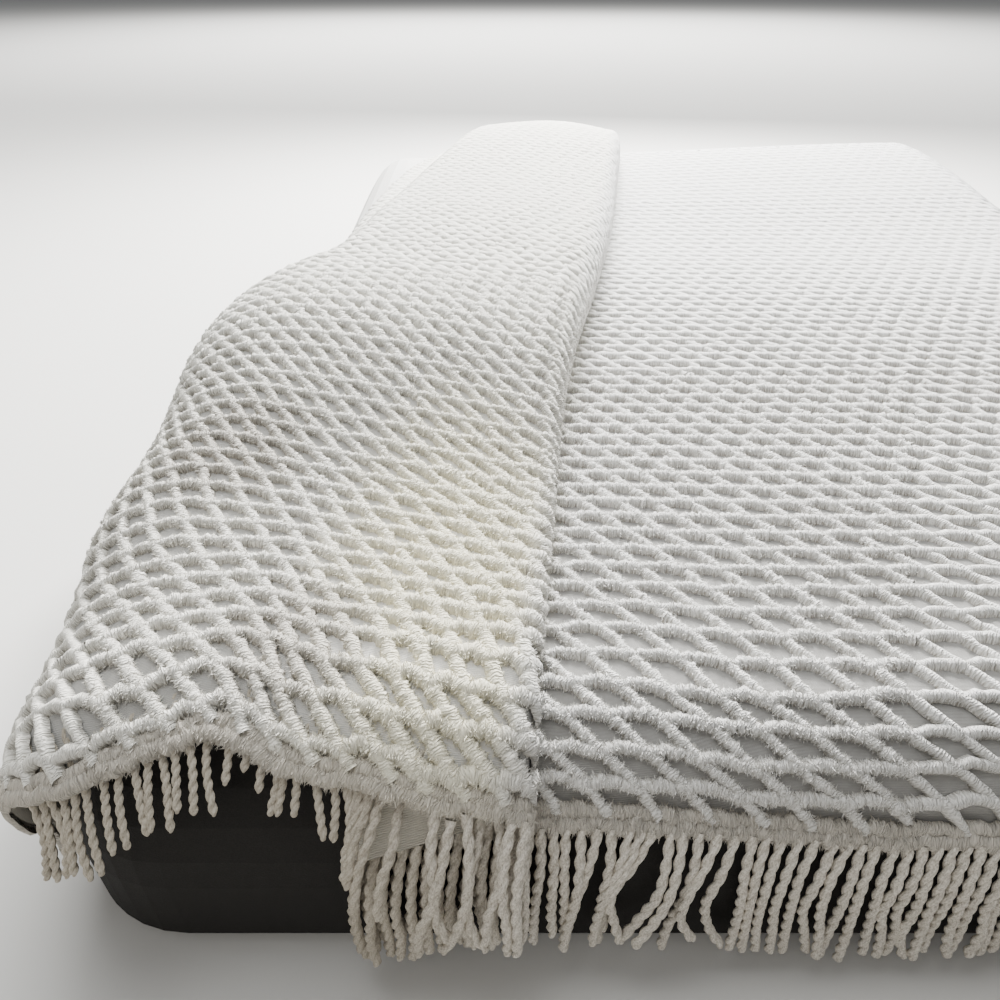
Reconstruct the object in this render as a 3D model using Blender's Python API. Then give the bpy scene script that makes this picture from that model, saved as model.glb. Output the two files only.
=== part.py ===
"""Chenille bedspread on a mattress, its left part folded back in a loose Z.

Metres, +Z up. The origin is the middle of the mattress's underside, +X runs to the right
as seen from the foot of the bed, and +Y runs from the foot to the head. The cloth lies on
a "bed surface": the mattress's soft outline plus a small clearance. A place on the cloth is
given by its path across and along that surface and by its height above it.
"""
import bpy
import numpy as np
from math import cos, pi, radians, sin

# ---- driving dimensions --------------------------------------------------------------
CELL = 0.038                # one cell of the tufted trellis, measured along the hem
MATTRESS_WIDTH = 1.60
MATTRESS_LENGTH = 2.10
MATTRESS_HEIGHT = 0.20
SHOULDER = 3.0 * CELL       # radius of the soft edge at the foot and the two sides
HEAD_SHOULDER = 2.2 * CELL  # radius of the soft edge at the head
FOOT_HEM_TURN = radians(60)  # where on the foot's rounded edge the main hem lies
CORNER_POWER = 4.0          # how the drops past a side and an end add up at a corner
FLARE = 0.04                # how far the hanging cloth leans outwards, for each unit down
HEAD_RISE = 0.9 * CELL      # the head end is a little higher, and more so to the right
HEAD_RISE_RIGHT = 0.9 * CELL
RISE_START = 0.165          # places along the bed where the rise starts and ends
RISE_END = 0.963
RISE_ACROSS = (-0.43, 0.75)  # places across the bed between which the rise grows
BEVEL = 0.015               # bottom edge of the mattress

CLEARANCE = 0.0035          # cloth above the mattress's soft edges
SEAT = 0.0004               # cloth above the level middle, which carries it
SHEET = 0.009               # ground cloth and pile together
LAYER_GAP = 0.005           # between main layer and underlap
RIGHT_DROP = 5.2 * CELL     # path from the start of the right shoulder to the side hem
DROP_WAVE = 0.008           # soft waves of the right drop
WAVE_TURNS = (17.0, 6.3)    # radians of the two waves for each metre from the foot hem
SETTLE_SHARE = 0.14         # last part of the flap, where it bends down to its foot
FOOT_CLEARANCE = 0.006      # the flap's foot stands this much higher than the main layer

# ---- the fold back: one row for each station along the bed ----------------------------
# y: place along the bed; fold: right-hand outline of the rolled fold; roll: its diameter;
# crown: height of the puffed flap above the underlap; foot: where the flap comes down on
# the bed at the left; end: its side hem, which lies flat or hangs over the left edge.
FOLD_COLUMNS = ("y", "fold", "roll", "crown", "foot", "end")
FOLD_STATIONS = np.array((
    (-1.089, -0.410, 0.017, 0.021, -0.850, -0.890),
    (-0.937, -0.397, 0.019, 0.023, -0.850, -0.890),
    (-0.747, -0.376, 0.030, 0.034, -0.850, -0.890),
    (-0.595, -0.359, 0.057, 0.068, -0.845, -0.890),
    (-0.443, -0.334, 0.084, 0.099, -0.827, -0.880),
    (-0.215, -0.283, 0.095, 0.101, -0.722, -0.830),
    (0.089, -0.219, 0.091, 0.101, -0.680, -0.790),
    (0.469, -0.158, 0.087, 0.098, -0.606, -0.720),
    (0.811, -0.108, 0.076, 0.092, -0.515, -0.640),
    (1.001, -0.090, 0.042, 0.066, -0.440, -0.560),
    (1.229, -0.085, 0.024, 0.030, -0.430, -0.540),
))
INNER_FOLD = -0.526         # place of the hidden inner fold at the foot
INNER_FOLD_SLOPE = 0.06     # how far right it moves along the bed
FLAP_LIFT = 0.5 * CELL      # the flap is drawn up the bed at the fold
FLAP_SKEW = 1.7 * CELL      # and more at the left, because it is turned a little
HEM_SAG = 0.4 * CELL        # the hem hangs lower towards the inner fold
SAG_START = -0.38           # place where the main hem begins to sag
HEM_EASE = 10 * CELL        # length over which the flap's uneven hem evens out
# share: place from the fold (0) to the flap's foot (1); lift: how far up the hem is drawn.
FLAP_HEM = np.array((
    (0.00, 0.50 * CELL),
    (0.12, 0.95 * CELL),
    (0.25, 1.30 * CELL),
    (0.38, 1.50 * CELL),
    (0.49, 1.95 * CELL),
    (0.63, 1.60 * CELL),
    (0.75, 1.15 * CELL),
    (1.00, 0.80 * CELL),
))
LOBE = 0.026                # soft bulge of the flap where it falls over the left edge
LOBE_AT = (-0.800, -0.725)  # its place across and along the bed surface
LOBE_SIZE = (0.090, 0.120)

# ---- fringe ---------------------------------------------------------------------------
HEADER = 0.010              # fuzzy band that carries the cords
TOOTH_PITCH = 0.0212        # one tooth for each two cords
TOOTH_WIDTH = 0.0150
TOOTH_THICKNESS = 0.0078
TOOTH_LENGTH = 0.104
SEAM_GAP = 0.0006           # header to hem
TIP_HEIGHT = 0.036          # the flap's cords settle to this height over the bed surface
FRINGE_TURN = radians(50)   # the fringe ends where the hem turns this far round each side

# Rows of the cloth's mesh: distance from the foot hem, in cells.
ROWS = (0, 0.5, 1, 1.5, 2.1, 2.7, 3.4, 4.5, 6, 8, 10.5, 13, 16, 19, 22.5, 26, 29.5, 33, 36.5,
        40, 43.5, 46.5, 49, 50.5, 51.5, 52.3, 53.1, 53.8, 54.5)


def smooth_step(start, end, value):
    """0 before start, 1 after end, with an S-shaped rise between."""
    t = np.clip((value - start) / (end - start), 0.0, 1.0)
    return t * t * (3.0 - 2.0 * t)


def head_rise(x, y):
    """Height of the bed surface above its level part."""
    share_right = smooth_step(*RISE_ACROSS, x)
    return smooth_step(RISE_START, RISE_END, y) * (HEAD_RISE + HEAD_RISE_RIGHT * share_right)


def over_edge(past, radius):
    """How far out and how far down a path has gone that runs past a rounded edge's start."""
    past = np.maximum(past, 0.0)
    angle = np.minimum(past / radius, pi / 2)
    straight = np.maximum(past - radius * pi / 2, 0.0)
    return radius * np.sin(angle) + FLARE * straight, radius * (1.0 - np.cos(angle)) + straight


def round_corner(out, other_out, radius):
    """Draw a point in towards a corner that is round in plan."""
    return out * np.sqrt(1.0 - 0.5 * np.minimum(other_out / radius, 1.0) ** 2)


def bed_surface(across, along):
    """Point of the bed surface for path lengths across and along it."""
    left = -MATTRESS_WIDTH / 2 + SHOULDER
    right = MATTRESS_WIDTH / 2 - SHOULDER
    foot = -MATTRESS_LENGTH / 2 + SHOULDER
    head = MATTRESS_LENGTH / 2 - HEAD_SHOULDER
    left_out, left_down = over_edge(left - across, SHOULDER)
    right_out, right_down = over_edge(across - right, SHOULDER)
    foot_out, foot_down = over_edge(foot - along, SHOULDER)
    head_out, head_down = over_edge(along - head, HEAD_SHOULDER)
    side_out = left_out + right_out
    end_out = foot_out + head_out
    x_past = round_corner(right_out - left_out, end_out, SHOULDER)
    y_past = round_corner(head_out - foot_out, side_out, SHOULDER)
    x = np.clip(across, left, right) + x_past
    y = np.clip(along, foot, head) + y_past
    side_down = left_down + right_down
    end_down = foot_down + head_down
    down = (side_down ** CORNER_POWER + end_down ** CORNER_POWER) ** (1 / CORNER_POWER)
    z = MATTRESS_HEIGHT + head_rise(x, y) - down
    return np.stack([x, y, z], axis=-1)


def unit(vectors):
    return vectors / np.linalg.norm(vectors, axis=-1, keepdims=True)


def bed_normal(across, along):
    """Direction square to the bed surface, away from the mattress."""
    step = 0.0005
    dx = bed_surface(across + step, along) - bed_surface(across - step, along)
    dy = bed_surface(across, along + step) - bed_surface(across, along - step)
    return unit(np.cross(dx, dy))


def lying(across, along, height):
    """Point at a height over the bed surface."""
    return bed_surface(across, along) + bed_normal(across, along) * np.asarray(height)[..., None]


def smooth_read(places, values, at):
    """Value at a place on a smooth curve through the rows of a table."""
    slopes = np.gradient(values, places)
    row = int(np.clip(np.searchsorted(places, at) - 1, 0, len(places) - 2))
    span = places[row + 1] - places[row]
    t = min(max((at - places[row]) / span, 0.0), 1.0)
    start = (2 * t**3 - 3 * t**2 + 1) * values[row] + (t**3 - 2 * t**2 + t) * span * slopes[row]
    end = (3 * t**2 - 2 * t**3) * values[row + 1] + (t**3 - t**2) * span * slopes[row + 1]
    return float(start + end)


def station(column, y):
    """One column of the fold table, read at y."""
    values = FOLD_STATIONS[:, FOLD_COLUMNS.index(column)]
    return smooth_read(FOLD_STATIONS[:, 0], values, y)


# ---- the cloth's section: across, shift along and height, from the right hem to the left --
MAIN_HEIGHT = CLEARANCE + SHEET / 2
UNDERLAP_HEIGHT = MAIN_HEIGHT + SHEET + LAYER_GAP
HEM_PATH = -MATTRESS_LENGTH / 2 + SHOULDER - SHOULDER * FOOT_HEM_TURN


def right_part(inner):
    """Side drop, right shoulder and the level main layer, as far as the inner fold."""
    shoulder = MATTRESS_WIDTH / 2 - SHOULDER
    drop = np.linspace(shoulder + RIGHT_DROP, shoulder, 9)
    level = np.linspace(shoulder, inner, 10)[1:]
    across = np.concatenate([drop, level])
    sag = -HEM_SAG * smooth_step(SAG_START, inner, across)
    return across, sag, np.full(len(across), MAIN_HEIGHT)


def inner_turn(inner):
    """The tight inner fold: half a circle up to the underlap."""
    radius = (UNDERLAP_HEIGHT - MAIN_HEIGHT) / 2
    angle = np.linspace(-pi / 2, -3 * pi / 2, 7)[1:]
    across = inner + radius * np.cos(angle)
    height = MAIN_HEIGHT + radius + radius * np.sin(angle)
    return across, np.full(len(angle), -HEM_SAG), height


def underlap(inner, roll_centre):
    """The layer between the folds, its wrong side up."""
    share = np.linspace(0, 1, 6)[1:]
    across = inner + (roll_centre - inner) * share
    shift = HEM_SAG * (share - 1) + FLAP_LIFT * share
    return across, shift, np.full(len(across), UNDERLAP_HEIGHT)


def outer_turn(roll_centre, roll):
    """The rounded outer fold, rolled over the underlap."""
    angle = np.linspace(-pi / 2, pi / 2, 9)[1:]
    across = roll_centre + roll / 2 * np.cos(angle)
    height = UNDERLAP_HEIGHT + roll / 2 + roll / 2 * np.sin(angle)
    return across, np.full(len(angle), FLAP_LIFT), height


def flap(roll_centre, roll, crown, foot, end, from_hem):
    """The puffed flap from the roll to its foot, then flat to the left side hem."""
    share = np.linspace(0, 1, 17)[1:]
    across = roll_centre + (foot - roll_centre) * share
    top = UNDERLAP_HEIGHT + roll + (crown - roll) * np.sin(pi * share)
    settle = np.clip((1 - share) / SETTLE_SHARE, 0, 1)
    settle = np.sqrt(1 - (1 - settle) ** 2)
    lowest = MAIN_HEIGHT + FOOT_CLEARANCE
    height = lowest + (top - lowest) * settle
    hem_lift = np.array([smooth_read(FLAP_HEM[:, 0], FLAP_HEM[:, 1], at) for at in share])
    turned = FLAP_LIFT + FLAP_SKEW * share
    shift = hem_lift + (turned - hem_lift) * smooth_step(0, HEM_EASE, from_hem)
    flat = np.linspace(foot, end, 4)[1:]
    across = np.concatenate([across, flat])
    shift = np.concatenate([shift, np.full(len(flat), shift[-1])])
    height = np.concatenate([height, np.full(len(flat), lowest)])
    return across, shift, height + lobe(across, HEM_PATH + from_hem + shift)


def lobe(across, along):
    """Bulge of the flap where it falls over the left edge."""
    far_across = (across - LOBE_AT[0]) / LOBE_SIZE[0]
    far_along = (along - LOBE_AT[1]) / LOBE_SIZE[1]
    return LOBE * np.exp(-far_across**2 - far_along**2)


def cloth_row(from_hem):
    """Paths across and along, and height, of the middle of the cloth along one row."""
    y = HEM_PATH + from_hem + FLAP_LIFT
    fold, roll, crown, foot, end = (station(name, y) for name in FOLD_COLUMNS[1:])
    inner = INNER_FOLD + INNER_FOLD_SLOPE * (y + MATTRESS_LENGTH / 2)
    centre = fold - roll / 2
    pieces = (right_part(inner), inner_turn(inner), underlap(inner, centre),
              outer_turn(centre, roll), flap(centre, roll, crown, foot, end, from_hem))
    across, shift, height = (np.concatenate(parts) for parts in zip(*pieces))
    hanging = smooth_step(0.02, 0.2, across - (MATTRESS_WIDTH / 2 - SHOULDER))
    waves = DROP_WAVE * hanging * (1 + np.sin(from_hem * WAVE_TURNS[0]) * np.cos(from_hem * WAVE_TURNS[1]))
    return across, HEM_PATH + from_hem + shift, height + waves


# ---- meshes -----------------------------------------------------------------------------
def new_object(name, vertices, faces, colour, roughness):
    """Object from points and faces, with a plain material of its own."""
    mesh = bpy.data.meshes.new(name)
    mesh.from_pydata([tuple(map(float, point)) for point in vertices], [], faces)
    material = bpy.data.materials.new(name)
    material.use_nodes = True
    shader = material.node_tree.nodes["Principled BSDF"]
    shader.inputs["Base Color"].default_value = (*colour, 1)
    shader.inputs["Roughness"].default_value = roughness
    shader.inputs["Metallic"].default_value = 0.0
    mesh.materials.append(material)
    mesh.shade_smooth()
    mesh.set_sharp_from_angle(angle=radians(50))
    thing = bpy.data.objects.new(name, mesh)
    bpy.context.scene.collection.objects.link(thing)
    return thing


def grid_faces(rows, columns, first=0, flip=False):
    """Quads between neighbouring points of a grid that is stored row by row."""
    faces = []
    for i in range(rows - 1):
        for j in range(columns - 1):
            a = first + i * columns + j
            quad = (a, a + 1, a + columns + 1, a + columns)
            faces.append(quad[::-1] if flip else quad)
    return faces


def grid_normals(points):
    """Upward normal of a grid of points whose columns run towards the left of the bed."""
    across = np.gradient(points, axis=1)
    along = np.gradient(points, axis=0)
    return unit(np.cross(along, across))


def border(rows, columns):
    """Indices round a grid's edge, in order."""
    near = list(range(columns))
    left = [i * columns + columns - 1 for i in range(1, rows)]
    far = [(rows - 1) * columns + j for j in range(columns - 2, -1, -1)]
    right = [i * columns for i in range(rows - 2, 0, -1)]
    return near + left + far + right


def build_bedspread(middle):
    rows, columns, _ = middle.shape
    count = rows * columns
    offset = grid_normals(middle) * SHEET / 2
    vertices = np.concatenate([(middle + offset).reshape(-1, 3), (middle - offset).reshape(-1, 3)])
    faces = grid_faces(rows, columns, flip=True) + grid_faces(rows, columns, first=count)
    edge = border(rows, columns)
    for a, b in zip(edge, edge[1:] + edge[:1]):
        faces.append((a, b, b + count, a + count))
    return new_object("bedspread", vertices, faces, (0.80, 0.78, 0.72), 0.95)


def comb_stations(run, across):
    """Places along the hem where the comb's section is set, and which spans are teeth."""
    limit = MATTRESS_WIDTH / 2 - SHOULDER + SHOULDER * FRINGE_TURN
    first = np.interp(-limit, -across[:9], run[:9])
    last = np.interp(limit, -across[-12:], run[-12:])
    teeth = int((last - first - TOOTH_WIDTH) / TOOTH_PITCH) + 1
    starts = first + np.arange(teeth) * TOOTH_PITCH
    edges = np.concatenate([starts, starts + TOOTH_WIDTH])
    inside = [place for place in run
              if np.abs(edges - place).min() > 0.0015 and starts[0] < place < edges[-1]]
    places = np.unique(np.concatenate([edges, inside]))
    middles = (places[:-1] + places[1:]) / 2
    is_tooth = [bool(((middle > starts) & (middle < starts + TOOTH_WIDTH)).any())
                for middle in middles]
    return places, is_tooth


def build_fringe(rows, middle):
    """One comb along the whole foot hem: a header band and a tooth for each two cords."""
    steps = np.linalg.norm(np.diff(middle[0], axis=0), axis=1)
    run = np.concatenate([[0], np.cumsum(steps)])
    places, is_tooth = comb_stations(run, rows[0, 0])

    def at_stations(values):
        return np.stack([np.interp(places, run, column) for column in values.T], axis=-1)

    across, along, height = at_stations(rows[0].T).T
    hem = at_stations(middle[0])
    out = unit(at_stations(grid_normals(middle)[0]))
    hem_normal = bed_normal(across, along)
    square = (out * hem_normal).sum(axis=-1, keepdims=True)
    settled = np.minimum(height, TIP_HEIGHT)
    rings = []
    for below in (SEAM_GAP, HEADER, HEADER + TOOTH_LENGTH / 2, HEADER + TOOTH_LENGTH):
        share = below / (HEADER + TOOTH_LENGTH)
        lower = height + (settled - height) * share
        path = along - below * SHOULDER / (SHOULDER + (height + lower) / 2)
        moved = lying(across, path, lower) - lying(across, along, height)
        turned = out + square * (bed_normal(across, path) - hem_normal)
        half = unit(turned) * TOOTH_THICKNESS / 2
        rings += [hem + moved + half, hem + moved - half]
    vertices = np.stack(rings, axis=1).reshape(-1, 3)
    per = len(rings)
    faces = [(3, 2, 0, 1)]
    for i, tooth in enumerate(is_tooth):
        a = i * per
        b = a + per
        depth = per - 2 if tooth else 2
        faces.append((a, b, b + 1, a + 1))
        for k in range(0, depth, 2):
            faces += [(a + k + 2, b + k + 2, b + k, a + k), (a + k + 1, b + k + 1, b + k + 3, a + k + 3)]
        faces.append((a + depth + 1, b + depth + 1, b + depth, a + depth))
        for side, other, before in ((a, i - 1, True), (b, i + 1, False)):
            neighbour = 0 <= other < len(is_tooth) and is_tooth[other]
            if tooth and not neighbour:
                walls = [(side + k + 1, side + k + 3, side + k + 2, side + k) for k in (2, 4)]
                faces += walls if before else [wall[::-1] for wall in walls]
    end = len(is_tooth) * per
    faces.append((end + 1, end, end + 2, end + 3))
    faces = [face[::-1] for face in faces]
    return new_object("fringe", vertices, faces, (0.76, 0.72, 0.64), 0.95)


def build_mattress():
    """Plain mattress: soft top edges, straight sides, a small bevel and a flat underside."""
    quarter = np.radians(np.arange(0, 91, 15))
    half_width = MATTRESS_WIDTH / 2 - SHOULDER
    foot = -MATTRESS_LENGTH / 2 + SHOULDER
    head = MATTRESS_LENGTH / 2 - HEAD_SHOULDER
    side = SHOULDER * quarter[1:]
    across = np.concatenate([-half_width - side[::-1], np.linspace(-half_width, half_width, 6),
                             half_width + side])
    along = np.concatenate([foot - side[::-1], np.linspace(foot, head, 17),
                            head + HEAD_SHOULDER * quarter[1:]])
    grid_x, grid_y = np.meshgrid(across, along)
    top = bed_surface(grid_x, grid_y)
    level = (np.abs(grid_x) < half_width - 0.05) & (grid_y > foot + 0.05) & (grid_y < RISE_START)
    top[level, 2] += CLEARANCE - SEAT
    rows, columns, _ = top.shape
    vertices = list(top.reshape(-1, 3))
    faces = grid_faces(rows, columns)
    loop = border(rows, columns)
    for inset, level in ((0.0, BEVEL), (BEVEL, 0.0)):
        first = len(vertices)
        for index in loop:
            x, y, _ = top.reshape(-1, 3)[index]
            shrink_x = 1 - inset / (MATTRESS_WIDTH / 2)
            shrink_y = 1 - inset / (MATTRESS_LENGTH / 2)
            vertices.append((x * shrink_x, y * shrink_y, level))
        lower = list(range(first, first + len(loop)))
        upper = loop if level else list(range(first - len(loop), first))
        for k in range(len(loop)):
            n = (k + 1) % len(loop)
            faces.append((upper[k], lower[k], lower[n], upper[n]))
    faces.append(tuple(reversed(lower)))
    return new_object("mattress", vertices, faces, (0.42, 0.41, 0.39), 0.9)


def main():
    for thing in list(bpy.data.objects):
        bpy.data.objects.remove(thing, do_unlink=True)
    rows = np.array([cloth_row(cells * CELL) for cells in ROWS])
    middle = lying(rows[:, 0], rows[:, 1], rows[:, 2])
    build_mattress()
    build_bedspread(middle)
    build_fringe(rows, middle)


main()
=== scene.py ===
# %% [markdown]
# # A chenille bedspread folded back over a mattress
#
# Chenille is a plain cotton cloth with lines of soft tufts sewn through it. Here the lines
# make a leaning trellis, and thick twisted cords hang from the hem at the foot of the bed.
# The left part of the spread is folded back on itself in a loose Z. This lesson dresses the
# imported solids: it lays a thin ground cloth on their folds, grows every tufted ridge on it,
# hangs the cords one by one, and gives cotton and mattress their finishes.

# %% Load the frame
import bpy
import numpy as np
from math import cos, pi, radians, sin
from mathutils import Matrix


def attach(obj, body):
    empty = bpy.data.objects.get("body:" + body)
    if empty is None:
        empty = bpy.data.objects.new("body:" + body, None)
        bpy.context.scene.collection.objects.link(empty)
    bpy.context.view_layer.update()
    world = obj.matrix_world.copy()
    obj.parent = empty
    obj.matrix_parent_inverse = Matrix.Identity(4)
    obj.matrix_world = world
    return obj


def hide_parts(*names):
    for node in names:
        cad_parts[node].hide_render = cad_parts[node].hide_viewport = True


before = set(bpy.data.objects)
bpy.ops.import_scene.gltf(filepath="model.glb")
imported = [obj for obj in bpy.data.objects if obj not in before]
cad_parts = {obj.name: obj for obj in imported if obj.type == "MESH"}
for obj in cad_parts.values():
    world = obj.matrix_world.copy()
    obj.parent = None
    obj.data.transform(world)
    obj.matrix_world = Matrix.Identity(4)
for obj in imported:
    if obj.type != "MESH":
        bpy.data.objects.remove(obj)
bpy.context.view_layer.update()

# %% [markdown]
# ## The camera and the light
#
# The camera stands low over the foot of the bed and looks down at the cloth. A big soft
# light behind and above the head end makes each ridge throw a small shadow towards us. One
# from above evens the cloth out, a weak one from the front keeps the shadows open, and one far
# behind makes the floor there a pale backdrop.

# %% Camera
CAMERA_AT = (-0.4275, -1.3547, 0.6675)
CAMERA_DOWN = radians(35)
CAMERA_LENS = 27.04

bpy.ops.object.select_all(action="DESELECT")
bpy.ops.object.camera_add(location=CAMERA_AT, rotation=(pi / 2 - CAMERA_DOWN, 0, 0))
camera = bpy.context.object
camera.data.lens = CAMERA_LENS
camera.data.sensor_width = 36.0
camera.data.clip_start = 0.01
bpy.context.scene.camera = camera
print("camera at", CAMERA_AT)

# %% Lights and floor
world = bpy.data.worlds.new("studio")
world.use_nodes = True
world.node_tree.nodes["Background"].inputs["Color"].default_value = (0.93, 0.96, 1.0, 1)
world.node_tree.nodes["Background"].inputs["Strength"].default_value = 0.22
bpy.context.scene.world = world


def soft_light(name, place, aim, size, power, colour):
    """A square area light that looks at a point."""
    bpy.ops.object.light_add(type="AREA", location=place)
    light = bpy.context.object
    light.name = name
    light.data.shape = "SQUARE"
    light.data.size = size
    light.data.energy = power
    light.data.color = colour
    towards = light.location - type(light.location)(aim)
    light.rotation_mode = "QUATERNION"
    light.rotation_quaternion = towards.to_track_quat("Z", "Y")


soft_light("key", (0.1, 2.05, 2.0), (-0.3, -0.5, 0.2), 1.1, 560, (1.0, 0.99, 0.97))
soft_light("top", (-0.8, 0.2, 2.7), (-0.4, -0.3, 0.2), 2.4, 95, (0.97, 0.99, 1.0))
soft_light("backdrop", (0.0, 10.5, 5.0), (0.0, 10.0, 0.0), 10.0, 3200, (1.0, 1.0, 1.0))
soft_light("fill", (-1.2, -2.6, 1.9), (-0.3, -0.9, 0.2), 2.0, 14, (1.0, 0.95, 0.88))

bpy.ops.mesh.primitive_plane_add(size=600)
floor = bpy.context.object
floor.name = "floor"
print("studio ready")

# %% [markdown]
# ## The bed surface
#
# The cloth lies on the mattress's soft outline, so every point of it can be named by a path
# across the bed, a path along it and a height above it. The sizes are those of the solids.

# %% Sizes of bed and cloth
CELL = 0.038
MATTRESS_WIDTH, MATTRESS_LENGTH, MATTRESS_HEIGHT = 1.60, 2.10, 0.20
SHOULDER, HEAD_SHOULDER = 3.0 * CELL, 2.2 * CELL
CORNER_POWER, FLARE = 4.0, 0.04
HEAD_RISE = HEAD_RISE_RIGHT = 0.9 * CELL
RISE_ALONG, RISE_ACROSS = (0.165, 0.963), (-0.43, 0.75)
CLEARANCE, SHEET, LAYER_GAP = 0.0035, 0.009, 0.005
HEM_PATH = -MATTRESS_LENGTH / 2 + SHOULDER - SHOULDER * radians(60)
CLOTH_LENGTH = 54.5 * CELL


def smooth_step(start, end, value):
    """0 before start, 1 after end, with an S-shaped rise between."""
    t = np.clip((value - start) / (end - start), 0.0, 1.0)
    return t * t * (3.0 - 2.0 * t)


def over_edge(past, radius):
    """How far out and down a path has gone that runs past a rounded edge's start."""
    past = np.maximum(past, 0.0)
    angle = np.minimum(past / radius, pi / 2)
    straight = np.maximum(past - radius * pi / 2, 0.0)
    return radius * np.sin(angle) + FLARE * straight, radius * (1 - np.cos(angle)) + straight


def bed_surface(across, along):
    """Point of the bed surface for path lengths across and along it."""
    side = MATTRESS_WIDTH / 2 - SHOULDER
    foot = -MATTRESS_LENGTH / 2 + SHOULDER
    head = MATTRESS_LENGTH / 2 - HEAD_SHOULDER
    left_out, left_down = over_edge(-side - across, SHOULDER)
    right_out, right_down = over_edge(across - side, SHOULDER)
    foot_out, foot_down = over_edge(foot - along, SHOULDER)
    head_out, head_down = over_edge(along - head, HEAD_SHOULDER)
    draw_in_x = np.sqrt(1 - 0.5 * np.minimum((foot_out + head_out) / SHOULDER, 1) ** 2)
    draw_in_y = np.sqrt(1 - 0.5 * np.minimum((left_out + right_out) / SHOULDER, 1) ** 2)
    x = np.clip(across, -side, side) + (right_out - left_out) * draw_in_x
    y = np.clip(along, foot, head) + (head_out - foot_out) * draw_in_y
    side_down, end_down = left_down + right_down, foot_down + head_down
    down = (side_down ** CORNER_POWER + end_down ** CORNER_POWER) ** (1 / CORNER_POWER)
    rise = HEAD_RISE + HEAD_RISE_RIGHT * smooth_step(*RISE_ACROSS, x)
    return np.stack([x, y, MATTRESS_HEIGHT + smooth_step(*RISE_ALONG, y) * rise - down], -1)


def unit(vectors):
    return vectors / np.linalg.norm(vectors, axis=-1, keepdims=True)


def bed_normal(across, along, step=0.0005):
    """Direction square to the bed surface, away from the mattress."""
    dx = bed_surface(across + step, along) - bed_surface(across - step, along)
    dy = bed_surface(across, along + step) - bed_surface(across, along - step)
    return unit(np.cross(dx, dy))


def lying(across, along, height):
    """Point at a height over the bed surface."""
    return bed_surface(across, along) + bed_normal(across, along) * np.asarray(height)[..., None]


print("bed surface: top", bed_surface(np.array(0.0), np.array(0.0)).round(3))

# %% [markdown]
# ## The fold back
#
# One row of this table describes the fold at one place along the bed: where its rolled
# outline lies, how thick the roll is, how high the flap puffs up, where it comes down and
# where its side hem is. A smooth curve is read through the rows, so the fold swells and leans.

# %% Table of the fold
FOLD_COLUMNS = ("y", "fold", "roll", "crown", "foot", "end")
FOLD_STATIONS = np.array((
    (-1.089, -0.410, 0.017, 0.021, -0.850, -0.890),
    (-0.937, -0.397, 0.019, 0.023, -0.850, -0.890),
    (-0.747, -0.376, 0.030, 0.034, -0.850, -0.890),
    (-0.595, -0.359, 0.057, 0.068, -0.845, -0.890),
    (-0.443, -0.334, 0.084, 0.099, -0.827, -0.880),
    (-0.215, -0.283, 0.095, 0.101, -0.722, -0.830),
    (0.089, -0.219, 0.091, 0.101, -0.680, -0.790),
    (0.469, -0.158, 0.087, 0.098, -0.606, -0.720),
    (0.811, -0.108, 0.076, 0.092, -0.515, -0.640),
    (1.001, -0.090, 0.042, 0.066, -0.440, -0.560),
    (1.229, -0.085, 0.024, 0.030, -0.430, -0.540),
))
# Share of the way from the fold to the flap's foot, and how many cells the hem is drawn up.
FLAP_HEM = np.array((
    (0.00, 0.50), (0.12, 0.95), (0.25, 1.30), (0.38, 1.50),
    (0.49, 1.95), (0.63, 1.60), (0.75, 1.15), (1.00, 0.80),
)) * (1, CELL)
# How far the rows of the main layer have slid up the bed, in millimetres: one line for
# each place along the cloth, one column for each place across it.
SLIDE_ACROSS = np.array((-0.40, -0.33, -0.27, -0.20, -0.14))
SLIDE_ALONG = np.array((0.0, 0.020, 0.048, 0.075, 0.102, 0.129, 0.156, 0.21, 0.32, 0.55))
SLIDE = np.array((
    (6, 4, 1, -3, -8), (15, 11, 6, 0, -2), (8, 7, 0, -6, -5), (8, 4, -2, -8, -9),
    (4, 1, -7, -12, -9), (3, 5, -2, -8, -8), (3, 8, 1, -4, -4), (5, 8, 4, 0, 1),
    (5, 6, 4, 2, 0), (0, 0, 0, 0, 0),
)) / 1000
INNER_FOLD, INNER_FOLD_SLOPE = -0.526, 0.06
FLAP_LIFT, FLAP_SKEW, HEM_DROP = 0.5 * CELL, 1.7 * CELL, 0.012
HEM_SAG, SAG_START, HEM_EASE = 0.4 * CELL, -0.38, 10 * CELL
LOBE, LOBE_AT, LOBE_SIZE = 0.026, (-0.800, -0.725), (0.090, 0.120)
RIGHT_DROP, DROP_WAVE, WAVE_TURNS = 5.2 * CELL, 0.008, (17.0, 6.3)
SETTLE_SHARE, FOOT_CLEARANCE = 0.14, 0.006
MAIN_HEIGHT = CLEARANCE + SHEET / 2
UNDERLAP_HEIGHT = MAIN_HEIGHT + SHEET + LAYER_GAP


def smooth_read(places, values, at):
    """Value at a place on a smooth curve through the rows of a table."""
    slopes = np.gradient(values, places)
    row = np.clip(np.searchsorted(places, at) - 1, 0, len(places) - 2)
    span = places[row + 1] - places[row]
    t = np.clip((at - places[row]) / span, 0, 1)
    start = (2 * t**3 - 3 * t**2 + 1) * values[row] + (t**3 - 2 * t**2 + t) * span * slopes[row]
    end = (3 * t**2 - 2 * t**3) * values[row + 1] + (t**3 - t**2) * span * slopes[row + 1]
    return start + end


def slide(across, from_hem):
    """How far one row of the main layer has slid, read smoothly from the table."""
    column = np.array([smooth_read(SLIDE_ALONG, values, from_hem) for values in SLIDE.T])
    return smooth_read(SLIDE_ACROSS, column, across)


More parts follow.
